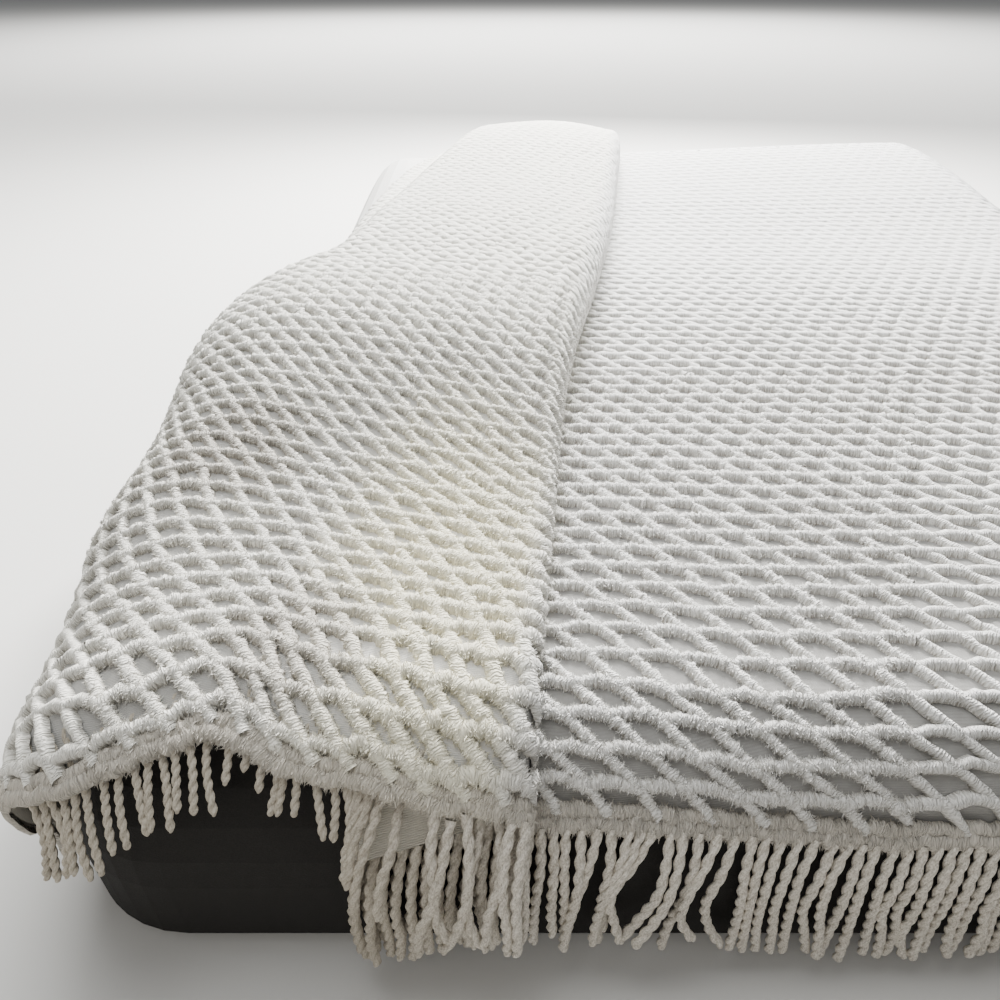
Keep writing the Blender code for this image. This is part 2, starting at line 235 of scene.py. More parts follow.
# %% [markdown]
# ## One row of cloth
#
# A row runs from the right side hem over the level main layer, round the tight inner fold,
# back along the underlap, round the rolled outer fold and over the puffed flap to the left
# side hem. The counts say how many points each stretch gets.

# %% Path of one row
COUNTS = {"drop": 14, "level": 52, "inner": 8, "underlap": 12, "roll": 14, "flap": 64, "flat": 6}


def cloth_row(from_hem):
    """Across, along and height of the middle of the cloth on one row."""
    y = HEM_PATH + from_hem + FLAP_LIFT
    fold, roll, crown, foot, end = (
        smooth_read(FOLD_STATIONS[:, 0], FOLD_STATIONS[:, k], y) for k in range(1, len(FOLD_COLUMNS)))
    inner = INNER_FOLD + INNER_FOLD_SLOPE * (y + MATTRESS_LENGTH / 2)
    centre = fold - roll / 2
    shoulder = MATTRESS_WIDTH / 2 - SHOULDER
    right = np.concatenate([np.linspace(shoulder + RIGHT_DROP, shoulder, COUNTS["drop"]),
                            np.linspace(shoulder, inner, COUNTS["level"] + 1)[1:]])
    small = (UNDERLAP_HEIGHT - MAIN_HEIGHT) / 2
    turn = np.linspace(-pi / 2, -3 * pi / 2, COUNTS["inner"] + 1)[1:]
    under = np.linspace(0, 1, COUNTS["underlap"] + 1)[1:]
    curl = np.linspace(-pi / 2, pi / 2, COUNTS["roll"] + 1)[1:]
    share = np.linspace(0, 1, COUNTS["flap"] + 1)[1:]
    flat = np.linspace(foot, end, COUNTS["flat"] + 1)[1:]
    settle = np.sqrt(1 - (1 - np.clip((1 - share) / SETTLE_SHARE, 0, 1)) ** 2)
    lowest = MAIN_HEIGHT + FOOT_CLEARANCE
    top = UNDERLAP_HEIGHT + roll + (crown - roll) * np.sin(pi * share)
    lift = smooth_read(FLAP_HEM[:, 0], FLAP_HEM[:, 1], share)
    lift = lift - HEM_DROP * smooth_step(0, 0.15, share)
    turned = FLAP_LIFT + FLAP_SKEW * share
    flap_shift = lift + (turned - lift) * smooth_step(0, HEM_EASE, from_hem)
    across = np.concatenate([right, inner + small * np.cos(turn), inner + (centre - inner) * under,
                             centre + roll / 2 * np.cos(curl), centre + (foot - centre) * share,
                             flat])
    sag = slide(right, from_hem) - HEM_SAG * smooth_step(SAG_START, inner, right)
    shift = np.concatenate([sag,
                            np.full(len(turn), sag[-1]), sag[-1] * (1 - under) + FLAP_LIFT * under,
                            np.full(len(curl), FLAP_LIFT), flap_shift,
                            np.full(len(flat), flap_shift[-1])])
    height = np.concatenate([np.full(len(right), MAIN_HEIGHT),
                             MAIN_HEIGHT + small + small * np.sin(turn),
                             np.full(len(under), UNDERLAP_HEIGHT),
                             UNDERLAP_HEIGHT + roll / 2 + roll / 2 * np.sin(curl),
                             lowest + (top - lowest) * settle, np.full(len(flat), lowest)])
    along = HEM_PATH + from_hem + shift
    on_flap = np.arange(len(across)) >= len(across) - len(share) - len(flat)
    bulge = np.exp(-((across - LOBE_AT[0]) / LOBE_SIZE[0]) ** 2
                   - ((along - LOBE_AT[1]) / LOBE_SIZE[1]) ** 2)
    hanging = smooth_step(0.02, 0.2, across - shoulder) * (~on_flap)
    waves = 1 + np.sin(from_hem * WAVE_TURNS[0]) * np.cos(from_hem * WAVE_TURNS[1])
    return across, along, height + LOBE * bulge * on_flap + DROP_WAVE * hanging * waves


ROW_STEP = CELL / 4
row_places = np.arange(0, CLOTH_LENGTH + ROW_STEP / 2, ROW_STEP)
rows = np.array([cloth_row(place) for place in row_places])
middle = lying(rows[:, 0], rows[:, 1], rows[:, 2])
normals = unit(np.cross(np.gradient(middle, axis=0), np.gradient(middle, axis=1)))
print("cloth grid", middle.shape[:2])

# %% [markdown]
# ## Helpers that turn arrays into pieces
#
# Thousands of tufts are too many to model by hand, so their points are worked out as arrays.
# `make_piece` turns points and faces into an object that rides on the one body of the part.
# The `fibre` attribute tells a material where a point lies along and across its yarn.

# %% Piece maker
def make_piece(name, points, faces, fibre, replaces):
    """Smooth mesh object from arrays of points and of three- or four-sided faces."""
    mesh = bpy.data.meshes.new(name)
    corners = faces.shape[1]
    mesh.vertices.add(len(points))
    mesh.vertices.foreach_set("co", np.ascontiguousarray(points, np.float32).ravel())
    mesh.loops.add(faces.size)
    mesh.loops.foreach_set("vertex_index", np.ascontiguousarray(faces, np.int32).ravel())
    mesh.polygons.add(len(faces))
    mesh.polygons.foreach_set("loop_start", np.arange(len(faces), dtype=np.int32) * corners)
    mesh.update(calc_edges=True)
    attribute = mesh.attributes.new("fibre", "FLOAT_VECTOR", "POINT")
    attribute.data.foreach_set("vector", np.ascontiguousarray(fibre, np.float32).ravel())
    mesh.shade_smooth()
    piece = bpy.data.objects.new(name, mesh)
    bpy.context.scene.collection.objects.link(piece)
    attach(piece, "root")
    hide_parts(*replaces)
    print(name, len(points), "points", len(faces) * (corners - 2), "triangles")
    return piece


def grid_faces(count_rows, count_columns):
    """Quads of a grid stored row by row."""
    first = np.arange((count_rows - 1) * count_columns).reshape(count_rows - 1, count_columns)
    first = first[:, :-1].ravel()
    return np.stack([first, first + 1, first + count_columns + 1, first + count_columns], -1)


# %% [markdown]
# ## The ground cloth
#
# The ground is a thin plain weave. It is made as a closed sheet 1.6 mm thick, a little under
# the middle of the solid's thickness, so the pile has room above it. Every fourth row of the
# cloth is enough for it.

# %% Ground cloth
GROUND_TOP, GROUND_THICKNESS = -0.0026, 0.0016
GROUND_ROWS = 4


def build_ground():
    count_rows, count_columns = middle.shape[:2]
    keep = np.unique(np.concatenate([np.arange(0, count_rows, GROUND_ROWS), [count_rows - 1]]))
    upper = middle[keep] + normals[keep] * GROUND_TOP
    lower = upper - normals[keep] * GROUND_THICKNESS
    count = len(keep) * count_columns
    quads = grid_faces(len(keep), count_columns)
    edge = np.concatenate([
        np.arange(count_columns), np.arange(1, len(keep)) * count_columns + count_columns - 1,
        (len(keep) - 1) * count_columns + np.arange(count_columns - 2, -1, -1),
        np.arange(len(keep) - 2, 0, -1) * count_columns])
    after = np.roll(edge, -1)
    rim = np.stack([edge, after, after + count, edge + count], -1)
    faces = np.concatenate([quads[:, ::-1], quads + count, rim])
    points = np.concatenate([upper.reshape(-1, 3), lower.reshape(-1, 3)])
    lengths = np.linalg.norm(np.diff(middle[keep], axis=1), axis=-1)
    yarn_x = np.concatenate([np.zeros((len(keep), 1)), np.cumsum(lengths, axis=1)], axis=1)
    yarn_y = np.repeat(row_places[keep][:, None], count_columns, axis=1)
    fibre = np.stack([yarn_x, yarn_y, np.zeros_like(yarn_x)], -1).reshape(-1, 3)
    piece = make_piece("ground_cloth", points, faces,
                       np.concatenate([fibre, fibre]), replaces=("bedspread",))
    side = np.zeros(len(faces), np.int32)
    side[len(quads):] = 1
    piece.data.polygons.foreach_set("material_index", side)
    return piece


ground = build_ground()

# %% [markdown]
# ## A patch that can be read anywhere
#
# The trellis is drawn on the flat cloth and then bent with it. A patch keeps the bent cloth
# as a table, so a place on the flat cloth gives a point, and the direction out of the pile.
# Ridges keep inside its edges, but may stand a little past its foot hem.

# %% Patches of main layer and flap
EDGE_MARGIN, PAST_HEM = 0.004, 0.02


class Patch:
    """A stretch of cloth that can be read at any place of the flat cloth."""

    def __init__(self, places, points, outward, step=0.004):
        self.axis = np.arange(places.min(), places.max() + step, step)
        self.low, self.high = places.min(axis=1), places.max(axis=1)
        self.step = step
        both = np.concatenate([points, outward], axis=-1)
        self.table = np.stack([
            np.stack([np.interp(self.axis, row[::-1], values[::-1]) for values in line.T], -1)
            for row, line in zip(places, both)])

    def read(self, p, q):
        """Points and outward directions at places p across and q from the hem."""
        r = np.clip(q / ROW_STEP, -1.5, len(self.table) - 1.001)
        c = np.clip((p - self.axis[0]) / self.step, 0, len(self.axis) - 1.001)
        i, j = np.maximum(r.astype(int), 0), c.astype(int)
        fr, fc = (r - i)[:, None], (c - j)[:, None]
        near = self.table[i, j] * (1 - fc) + self.table[i, j + 1] * fc
        far = self.table[i + 1, j] * (1 - fc) + self.table[i + 1, j + 1] * fc
        both = near * (1 - fr) + far * fr
        return both[:, :3], unit(both[:, 3:])

    def inside(self, p, q):
        """Whether a ridge may stand at a place."""
        low = np.interp(q, row_places, self.low)
        high = np.interp(q, row_places, self.high)
        beside = (p > low + EDGE_MARGIN) & (p < high - EDGE_MARGIN)
        return beside & (q > -PAST_HEM) & (q < CLOTH_LENGTH - EDGE_MARGIN)


main_columns = slice(0, COUNTS["drop"] + COUNTS["level"])
flap_first = sum(COUNTS[name] for name in ("drop", "level", "inner", "underlap"))
flap_columns = slice(flap_first - 1, None)
flap_steps = np.linalg.norm(np.diff(middle[:, flap_columns], axis=1), axis=-1)
flap_places = -np.concatenate([np.zeros((len(rows), 1)), np.cumsum(flap_steps, axis=1)], axis=1)
main_patch = Patch(rows[:, 0, main_columns], middle[:, main_columns], normals[:, main_columns])
flap_patch = Patch(flap_places, middle[:, flap_columns], normals[:, flap_columns])
print("flap is", round(float(-flap_places.min()), 3), "m wide at its widest")

# %% [markdown]
# ## Tufted ridges
#
# Each ridge is a soft half-round rope of cut strands that lie across it. Its outline swells
# and draws in without a fixed beat, and every ring is ruffled a little. Close to the camera
# each strand has a ring of its own, with loose fibres standing out of it. Farther off, and out
# of sight, fewer rings do the same work.

# %% Ridge maker
# How far aside a point may lie for each unit of depth, and how deep, in metres.
SEEN_ACROSS, CLOSE_ACROSS = 0.70, 0.55
LEAST_DEPTH, NEAR_DEPTH, FAR_DEPTH = 0.3, 1.05, 1.80
SWELL_SPREAD, ASIDE_SPREAD = 0.07, 0.05
SECTION_POWER = 0.8
random = np.random.default_rng(11)


def slow_wave(place, seed, length=0.11):
    """A smooth wander between about -1 and 1 along a line, other for each seed."""
    a, b, c = np.random.default_rng(seed).uniform(0, 2 * pi, 3)
    turn = 2 * pi / length
    return (np.sin(place * turn + a) + np.sin(place * turn * 1.73 + b) * 0.6
            + np.sin(place * turn * 3.1 + c) * 0.4) / 2


def near_camera(points):
    """2 for points seen from close by, 1 for those farther off, 0 for all others."""
    away = points - np.array(CAMERA_AT)
    depth = away[:, 1] * cos(CAMERA_DOWN) - away[:, 2] * sin(CAMERA_DOWN)
    aside = np.abs(away[:, 0]) / np.maximum(depth, LEAST_DEPTH)
    seen = (aside < SEEN_ACROSS) & (depth > LEAST_DEPTH)
    close = seen & (aside < CLOSE_ACROSS) & (depth < NEAR_DEPTH)
    return np.where(close, 2, np.where(seen & (depth < FAR_DEPTH), 1, 0))


def rings_along(centre, outward, width, height, sides, ruffle, strands, heading):
    """Rings of half-round section along one line of points, with some strands to each."""
    tangent = unit(np.gradient(centre, axis=0))
    beside = unit(np.cross(outward, tangent))
    count = len(centre)
    turn = np.cumsum(random.uniform(0.4, 1.6, count)) * (2 * pi / 3)
    swell = 0.96 + 0.04 * np.cos(turn) + random.normal(0, SWELL_SPREAD, count)
    slide = random.normal(0, ASIDE_SPREAD, count) * width
    angles = np.linspace(0, pi, sides)
    rough = 1 + ruffle * random.normal(0, 1, (count, sides))
    flat = np.cos(angles)[None] * (width / 2 * swell)[:, None] * rough + slide[:, None]
    tall = np.sin(angles)[None] ** SECTION_POWER * (height * swell)[:, None] * rough
    points = (centre[:, None] + beside[:, None] * flat[..., None]
              + outward[:, None] * tall[..., None])
    fibre = np.empty((count, sides, 3))
    fibre[..., 0] = (np.arange(count) * strands + random.integers(0, 900))[:, None]
    fibre[..., 1] = angles[None] / pi
    fibre[..., 2] = random.uniform(0, 1, count)[:, None] + heading
    return points, fibre


MOST_TRIANGLES = 190000     # in one piece; a face of a ring makes two of them


class Tufts:
    """Gathers the rings of many lines, and turns them into a few joined meshes."""

    def __init__(self):
        self.points, self.fibres, self.faces = [], [], []
        self.total = 0

    def add(self, points, fibre):
        count, sides = points.shape[:2]
        self.points.append(points.reshape(-1, 3))
        self.fibres.append(fibre.reshape(-1, 3))
        self.faces.append(grid_faces(count, sides) + self.total)
        self.total += count * sides

    def pieces(self, name, slot, replaces):
        points = np.concatenate(self.points)
        fibres = np.concatenate(self.fibres)
        made, start = [], 0
        sizes = [len(faces) for faces in self.faces]
        while start < len(sizes):
            end, count = start, 0
            while end < len(sizes) and count + sizes[end] <= MOST_TRIANGLES / 2:
                count += sizes[end]
                end += 1
            faces = np.concatenate(self.faces[start:end])
            low, high = faces.min(), faces.max() + 1
            label = f"{name}_{len(made) + 1}"
            made.append(make_piece(label, points[low:high], faces - low,
                                   fibres[low:high], replaces))
            start = end
        return made


# For each level: the distance between two rings, and how many points a ring has.
STEPS = {2: 0.0022, 1: 0.0062, 0: 0.011}
SIDES = {2: 6, 1: 5, 0: 4}
RUFFLE, RIDGE_SINK = 0.05, 0.0006
# Ridges get this much lower between two places up the bed.
FLATTEN, FLATTEN_ALONG = 0.62, (0.55, 1.30)
tufts = {level: Tufts() for level in STEPS}
fibre_roots = []


def add_line(patch, p, q, width, height, fullness, heading=0):
    """One ridge along a line of places on a patch, in runs of equal fineness."""
    inside = patch.inside(p, q)
    step = np.hypot(np.diff(p), np.diff(q))
    span = np.concatenate([[0], np.cumsum(step)])
    centre, outward = patch.read(p, q)
    level = np.where(inside, near_camera(centre), -1)
    cuts = np.flatnonzero(np.diff(level)) + 1
    for run in np.split(np.arange(len(p)), cuts):
        kind = level[run[0]]
        if kind < 0 or len(run) < 3:
            continue
        start, end = span[run[0]], span[min(run[-1] + 1, len(p) - 1)]
        count = max(int((end - start) / STEPS[kind]), 3)
        places = np.linspace(start, end, count)
        at_p, at_q = np.interp(places, span, p), np.interp(places, span, q)
        points, normal = patch.read(at_p, at_q)
        points = points + normal * (GROUND_TOP - RIDGE_SINK)
        fuller = width * fullness(at_p, at_q)
        lower = height * (1 - FLATTEN * smooth_step(*FLATTEN_ALONG, at_q))
        ring, fibre = rings_along(points, normal, fuller, lower, SIDES[kind], RUFFLE,
                                  STEPS[kind] / STEPS[2], heading)
        tufts[kind].add(ring, fibre)
        if kind == 2:
            fibre_roots.append((ring, normal, np.full(count, heading)))


# %% [markdown]
# ## The trellis
#
# Rows of tufts run beside the foot hem. The other ridges lean: they shift by half a cell to a
# whole one to the right for every row towards the hem. Together they enclose leaning cells.
# The flap is gathered at its hem and again from where it rises over the roll,
# so its cells are narrower there. Its ridges are worn thinner towards the hem, except beside
# the fold, and full farther up.

# %% Trellis lines
ROW_WIDTH, ROW_HEIGHT = 0.0134, 0.0080
LEAN_WIDTH, LEAN_HEIGHT = 0.0120, 0.0074
# Spacing of the rows, first row, spacing of the leaning ridges and place of one of them.
MAIN_TRELLIS = (0.715 * CELL, 0.0210, CELL, -0.026)
FLAP_TRELLIS = (0.611 * CELL, 0.0145, 0.947 * CELL, 0.011)
MAIN_LEAN = (1.03, 0.87, 0.77), (0.10, 0.20)
FLAP_LEAN = (1.50, 0.92, 1.60), (0.06, 0.27)
GATHER_AT = -0.226
LINE_STEP = 0.003
ROW_ARCH, ROW_DRIFT, HEM_DRIFT, LEAN_DRIFT = 0.0034, 0.0013, 0.0015, 0.0018
# Place from the hem, width and height of the two ridges of the heading.
HEADING_RIDGES = (0.0070, 0.0140, 0.0058), (0.0010, 0.0150, 0.0070)


def lean_by(slopes, bends, q):
    """Sideways shift of a leaning ridge whose slope changes at two bends."""
    return (slopes[0] * np.minimum(q - bends[0], 0) + slopes[2] * np.maximum(q - bends[1], 0)
            + slopes[1] * np.clip(q - bends[0], 0, bends[1] - bends[0]))


class MainShape:
    """Where the trellis of the main layer lies."""

    def across(self, flat, q):
        return flat - lean_by(*MAIN_LEAN, q)

    def flat(self, p, q):
        return p + lean_by(*MAIN_LEAN, q)

    def tilt(self, p, q):
        return 0 * p

    def row(self, q):
        return q

    def fullness(self, p, q):
        return 0.86 + 0.36 * smooth_step(0.10, 0.50, q) + 0.18 * smooth_step(0.70, 1.20, q)


class FlapShape:
    """The same for the flap, whose rows stand higher towards its left side."""

    def lean(self, q):
        return lean_by(*FLAP_LEAN, q) - 0.45 * np.maximum(q - 0.75, 0)

    def gather(self, q):
        """Width of the flap's cells as a share of their flat width."""
        return 0.77 + 0.17 * smooth_step(0.06, 0.18, q) - 0.15 * smooth_step(0.22, 0.42, q)

    def across(self, flat, q):
        return (flat - self.lean(q)) * self.gather(q) + GATHER_AT * (1 - self.gather(q))

    def flat(self, p, q):
        return (p - GATHER_AT * (1 - self.gather(q))) / self.gather(q) + self.lean(q)

    def tilt(self, p, q):
        return -0.11 * (p + 0.30) * smooth_step(0.05, 0.28, q) * (1 - smooth_step(0.4, 0.9, q))

    def row(self, q):
        return q + 0.15 * np.clip(q - 0.30, 0, 0.30)

    def fullness(self, p, q):
        full_patch = smooth_step(-0.20, -0.08, p) * (1 - smooth_step(0.26, 0.40, q))
        wear_and_shade = (0.75 + 0.25 * smooth_step(0.08, 0.20, q)) * (1 - full_patch)
        wear_and_shade = wear_and_shade * (1 - smooth_step(0.40, 0.62, q))
        return 1.20 - 0.27 * wear_and_shade + 0.42 * smooth_step(0.45, 0.75, q)


def trellis(patch, shape, sizes, seed):
    row_pitch, first_row, cell, phase = sizes
    """All rows and leaning ridges of one patch."""
    p = np.arange(patch.axis[0], patch.axis[-1], LINE_STEP)
    for k in range(int((CLOTH_LENGTH - first_row) / row_pitch) + 1):
        q = shape.row(first_row + k * row_pitch)
        arch = ROW_ARCH * np.abs(np.sin(pi * (shape.flat(p, q) - phase) / cell))
        drift = (ROW_DRIFT + HEM_DRIFT * smooth_step(0.12, 0.02, q)) * slow_wave(p, seed + k)
        add_line(patch, p, q + shape.tilt(p, q) + arch + drift, ROW_WIDTH, ROW_HEIGHT,
                 shape.fullness)
    q = np.arange(2 * LINE_STEP, CLOTH_LENGTH, LINE_STEP)
    reach = [shape.flat(side, end) for side in patch.axis[[0, -1]] for end in (q[0], q[-1])]
    first = int(np.floor((min(reach) - phase) / cell))
    for n in range(first, int((max(reach) - phase) / cell) + 2):
        line = shape.across(phase + n * cell, q) + LEAN_DRIFT * slow_wave(q, seed + 500 + n)
        add_line(patch, line, q + shape.tilt(line, q), LEAN_WIDTH, LEAN_HEIGHT, shape.fullness)


def evenly_full(p, q):
    """The ridges of the heading are equally full all along."""
    return np.ones_like(p)


trellis(main_patch, MainShape(), MAIN_TRELLIS, 100)
trellis(flap_patch, FlapShape(), FLAP_TRELLIS, 3000)
for patch, seed in ((main_patch, 71), (flap_patch, 72)):
    run = np.arange(patch.axis[0], patch.axis[-1], LINE_STEP)
    for at, width, height in HEADING_RIDGES:
        place = at + 0.0012 * slow_wave(run, seed, 0.04)
        add_line(patch, run, place, width, height, evenly_full, heading=1)

ridges = []
for level, name in ((2, "ridges_near"), (1, "ridges_far"), (0, "ridges_beyond")):
    ridges += tufts[level].pieces(name, "chenille", replaces=("bedspread",))

# %% [markdown]
# ## Loose fibres
#
# Cut tufts are never quite smooth. Thin blades stand out of every near ridge, most of them
# across it, so that its edge looks soft. They are longer along the hem, where they hang over
# the cords.

# %% Loose fibres
FUZZ, BLADE_WIDTH = 0.0038, 0.0010
BLADES = 11         # for each ring nearer to the camera than FUZZ_REACH, and half of it past it
FUZZ_REACH = 0.92


def build_fibres():
    """Points, faces and fibre marks of all loose blades."""
    ring = np.concatenate([points for points, _, _ in fibre_roots])
    outward = np.concatenate([normal for _, normal, _ in fibre_roots])
    heading = np.concatenate([mark for _, _, mark in fibre_roots])
    sides = ring.shape[1]
    close = np.linalg.norm(ring[:, 0] - np.array(CAMERA_AT), axis=-1) < FUZZ_REACH
    which = np.repeat(np.arange(len(ring)), np.where(close, BLADES, BLADES // 2))
    share = np.clip(random.uniform(-0.1, 1.1, len(which)), 0, 0.999) * (sides - 1.001)
    low = share.astype(int)
    part = (share - low)[:, None]
    root = ring[which, low] * (1 - part) + ring[which, low + 1] * part
    core = (ring[which, 0] + ring[which, -1]) / 2
    across = unit(ring[which, -1] - ring[which, 0])
    along = np.cross(across, outward[which])
    downhill = across * np.sign(share / (sides - 1) - 0.5)[:, None]
    direction = unit(root - core + outward[which] * 0.0005)
    direction = unit(direction * 0.75 + downhill * 0.60 - outward[which] * 0.10
                     + along * random.normal(0.10, 0.45, (len(which), 1))
                     + outward[which] * random.normal(0, 0.25, (len(which), 1)))
    reach = FUZZ * (1 + 0.15 * heading[which, None]) * random.uniform(0.5, 1.25, (len(which), 1))
    root = root + along * random.normal(0, 0.0010, (len(which), 1)) - direction * 0.0012
    side = unit(np.cross(direction, outward[which]) + along * 0.2) * BLADE_WIDTH / 2
    points = np.stack([root - side, root + side, root + direction * reach], axis=1)
    faces = np.arange(len(points) * 3).reshape(-1, 3)
    fibre = np.zeros((len(points), 3, 3))
    fibre[..., 0] = random.uniform(0, 1, (len(points), 1))
    fibre[..., 1] = random.uniform(0.10, 0.5, (len(points), 1))
    fibre[..., 2] = random.uniform(0, 1, (len(points), 1)) + heading[which, None]
    return points.reshape(-1, 3), faces, fibre.reshape(-1, 3)


fibre_points, fibre_faces, fibre_marks = build_fibres()
fibres = []
parts = 1 + len(fibre_faces) // MOST_TRIANGLES
for k, chunk in enumerate(np.array_split(np.arange(len(fibre_faces)), parts)):
    first, last = chunk[0] * 3, chunk[-1] * 3 + 3
    fibres.append(make_piece(f"loose_fibres_{k + 1}", fibre_points[first:last],
                             fibre_faces[chunk] - first, fibre_marks[first:last],
                             replaces=("bedspread",)))

# %% [markdown]
# ## The twisted cords
#
# Every cord is two plies twisted together, with a cut, rounded end. Along the main layer
# they hang down the side of the bed. Below the flap the hem has rolled under, so the cords
# come out from beneath it and only their lower parts show. There they are twisted tighter, so
# they are a little thinner.

# %% Cord maker
CORD_PITCH, CORD_LENGTH = 0.0108, 0.130
PLY_RADIUS, PLY_OFFSET, LAY, TIP_LENGTH = 0.0029, 0.00145, 0.0275, 0.0055
TIP_HEIGHT = 0.036
FRINGE_TURN = radians(50)
# A cord counts as tucked under the hem from TUCKED on, and starts lower by TUCK_DROP.
TUCKED, TUCK_DROP = 0.002, 0.010
# The flap's cords are thinner by this share, growing between two places across the bed.
THINNER, THINNER_ACROSS = 0.22, (-0.48, -0.58)


def cord_path(at, length, offsets, stand, tuck):
    """Centre line, outward direction and distance down one cord."""
    across, along, height = at
    s = np.linspace(0, 1, 80)
    below = s * length
    settled = min(height, TIP_HEIGHT)
    level = height + (settled - height) * s - TUCK_DROP * (tuck > TUCKED) * (1 - s) + stand * s
    path = along + tuck - below * SHOULDER / (SHOULDER + (height + level) / 2)
    where = (across + wander(offsets, s), path)
    return lying(*where, level), bed_normal(*where), below


def twist_cord(centre, outward, below, turn, thick, rings, sides):
    """Two twisted plies along a centre line, drawn in to a rounded end."""
    tip = below[-1] - np.array((0.0036, 0.0022, 0.0011, 0.0004, 0.0))
    pick = np.concatenate([np.linspace(0, below[-1] - TIP_LENGTH, rings - len(tip)), tip])
    centre, outward = (
        np.stack([np.interp(pick, below, part) for part in values.T], -1)
        for values in (centre, outward))
    tangent = unit(np.gradient(centre, axis=0))
    beside = unit(np.cross(outward, tangent))
    above = unit(np.cross(tangent, beside))
    close = np.sqrt(1 - (1 - np.clip((pick[-1] - pick) / TIP_LENGTH, 0, 1)) ** 2)
    close = close * 0.98 + 0.02
    around = np.linspace(0, 2 * pi, sides + 1)
    ring = (beside[:, None] * np.cos(around)[None, :, None]
            + above[:, None] * np.sin(around)[None, :, None])
    for half in (0, pi):
        spin = (turn + pick / (LAY * thick ** 2) * 2 * pi + half)[:, None]
        wind = (beside * np.cos(spin) + above * np.sin(spin)) * PLY_OFFSET * close[:, None]
        radius = (PLY_RADIUS * thick * close)[:, None, None]
        points = (centre + wind * thick)[:, None] + ring * radius
        fibre = np.empty(points.shape)
        fibre[..., 0] = pick[:, None]
        fibre[..., 1] = around[None] / (2 * pi)
        fibre[..., 2] = turn % 1.0
        yield points, fibre


hem_steps = np.linalg.norm(np.diff(middle[0], axis=0), axis=-1)
hem_run = np.concatenate([[0], np.cumsum(hem_steps)])
limit = MATTRESS_WIDTH / 2 - SHOULDER + SHOULDER * FRINGE_TURN
first_side = COUNTS["drop"] + COUNTS["level"]
last_side = len(hem_run) - COUNTS["flap"] - COUNTS["flat"]
first_cord = np.interp(-limit, -rows[0, 0, :first_side], hem_run[:first_side])
last_cord = np.interp(limit, -rows[0, 0, last_side:], hem_run[last_side:])
roll_at = hem_run[last_side]

# Main cords that have caught, crossed or curled: place of the cord across the bed, how far
# it has strayed at each quarter of its length, in millimetres, its share of the full length,
# and how far its end stands out, in millimetres.
STRAY_CORDS = np.array((
    (-0.3975, 0, -3, -4, -4, 0.97, 8), (-0.3885, 1, 0, 0, 2, 0.86, 10),
    (-0.3788, -1, 0, 1, 2, 1.00, 6), (-0.3675, -1, -3, -8, -11, 0.99, 14),
    (-0.3548, -4, -9, -14, -20, 0.62, 4), (-0.3450, -1, -5, -6, -5, 0.97, 6),
    (-0.3315, -7, -17, -22, -24, 0.93, 12), (-0.3226, -11, -22, -18, -11, 0.88, 14),
    (-0.3136, -14, -29, -34, -33, 0.84, 4), (-0.3016, -3, -8, -20, -33, 0.86, 12),
    (-0.2918, -4, -10, -20, -33, 0.86, 18), (-0.2798, -4, -10, -17, -20, 1.00, 8),
    (-0.2648, -11, -22, -25, -13, 0.82, 14), (-0.2528, -9, -18, -13, 2, 0.97, 8),
    (-0.2401, -5, -4, -4, -5, 1.00, 8), (-0.2303, -6, -7, -6, -5, 1.00, 9),
    (-0.2191, -7, -9, -8, -4, 1.01, 8), (-0.2064, -8, -11, -8, -6, 1.01, 9),
    (-0.1936, -10, -11, -10, -8, 1.01, 8), (-0.1801, -9, -15, -9, -2, 1.00, 8),
    (-0.1689, -12, -14, -10, -8, 1.00, 14), (-0.1591, -6, -8, -11, -13, 1.02, 9),
    (-0.1486, -7, -8, -8, -9, 1.04, 12),
))
# The same at places along the rolled hem of the flap, and how far the cords are tucked under
# it, in millimetres. The flap's cords are evenly spaced and read smoothly between these rows.
FLAP_CORDS = np.array((
    (-0.900, 8, 16, 22, 28, 1.00, 4, 45), (-0.770, 8, 16, 24, 30, 1.00, 6, 50),
    (-0.727, 8, 16, 24, 32, 1.00, 6, 60), (-0.707, 8, 16, 24, 32, 1.00, 6, 66),
    (-0.687, 8, 16, 24, 32, 1.00, 6, 61), (-0.667, 6, 13, 20, 26, 1.00, 6, 62),
    (-0.657, 8, 16, 22, 26, 1.00, 4, 60), (-0.647, 10, 20, 26, 24, 1.00, 4, 72),
    (-0.636, 10, 22, 28, 26, 1.00, 4, 70), (-0.626, 12, 24, 30, 28, 1.00, 4, 63),
    (-0.612, 10, 20, 26, 26, 1.00, 4, 60), (-0.597, 10, 20, 26, 27, 1.00, 4, 66),
    (-0.588, 12, 24, 32, 36, 1.00, 5, 60), (-0.577, 12, 24, 32, 34, 1.00, 5, 57),
    (-0.566, 12, 24, 32, 34, 1.00, 5, 56), (-0.556, 10, 20, 24, 22, 1.00, 5, 46),
    (-0.545, 9, 16, 16, 14, 1.00, 6, 42), (-0.535, 6, 8, 6, 0, 1.00, 6, 42),
    (-0.524, 2, 0, -6, -12, 0.95, 6, 34), (-0.513, -4, -10, -18, -22, 0.88, 7, 26),
    (-0.503, -8, -16, -23, -26, 0.84, 9, 18), (-0.493, -6, -12, -18, -20, 0.84, 8, 16),
    (-0.487, -4, -8, -12, -14, 0.22, 3, 26),
    (-0.480, 0, 0, 0, 0, 0.22, 3, 26), (-0.472, -3, -4, 2, 8, 0.90, 8, 2),
    (-0.462, -6, -14, -22, -26, 0.94, 9, 0), (-0.451, 2, 0, -8, -16, 0.90, 8, 0),
    (-0.440, -4, -10, -8, 2, 0.93, 8, 2), (-0.429, 2, 2, -2, -8, 0.90, 9, 2),
    (-0.400, 0, 0, 0, 0, 0.94, 6, 0),
))


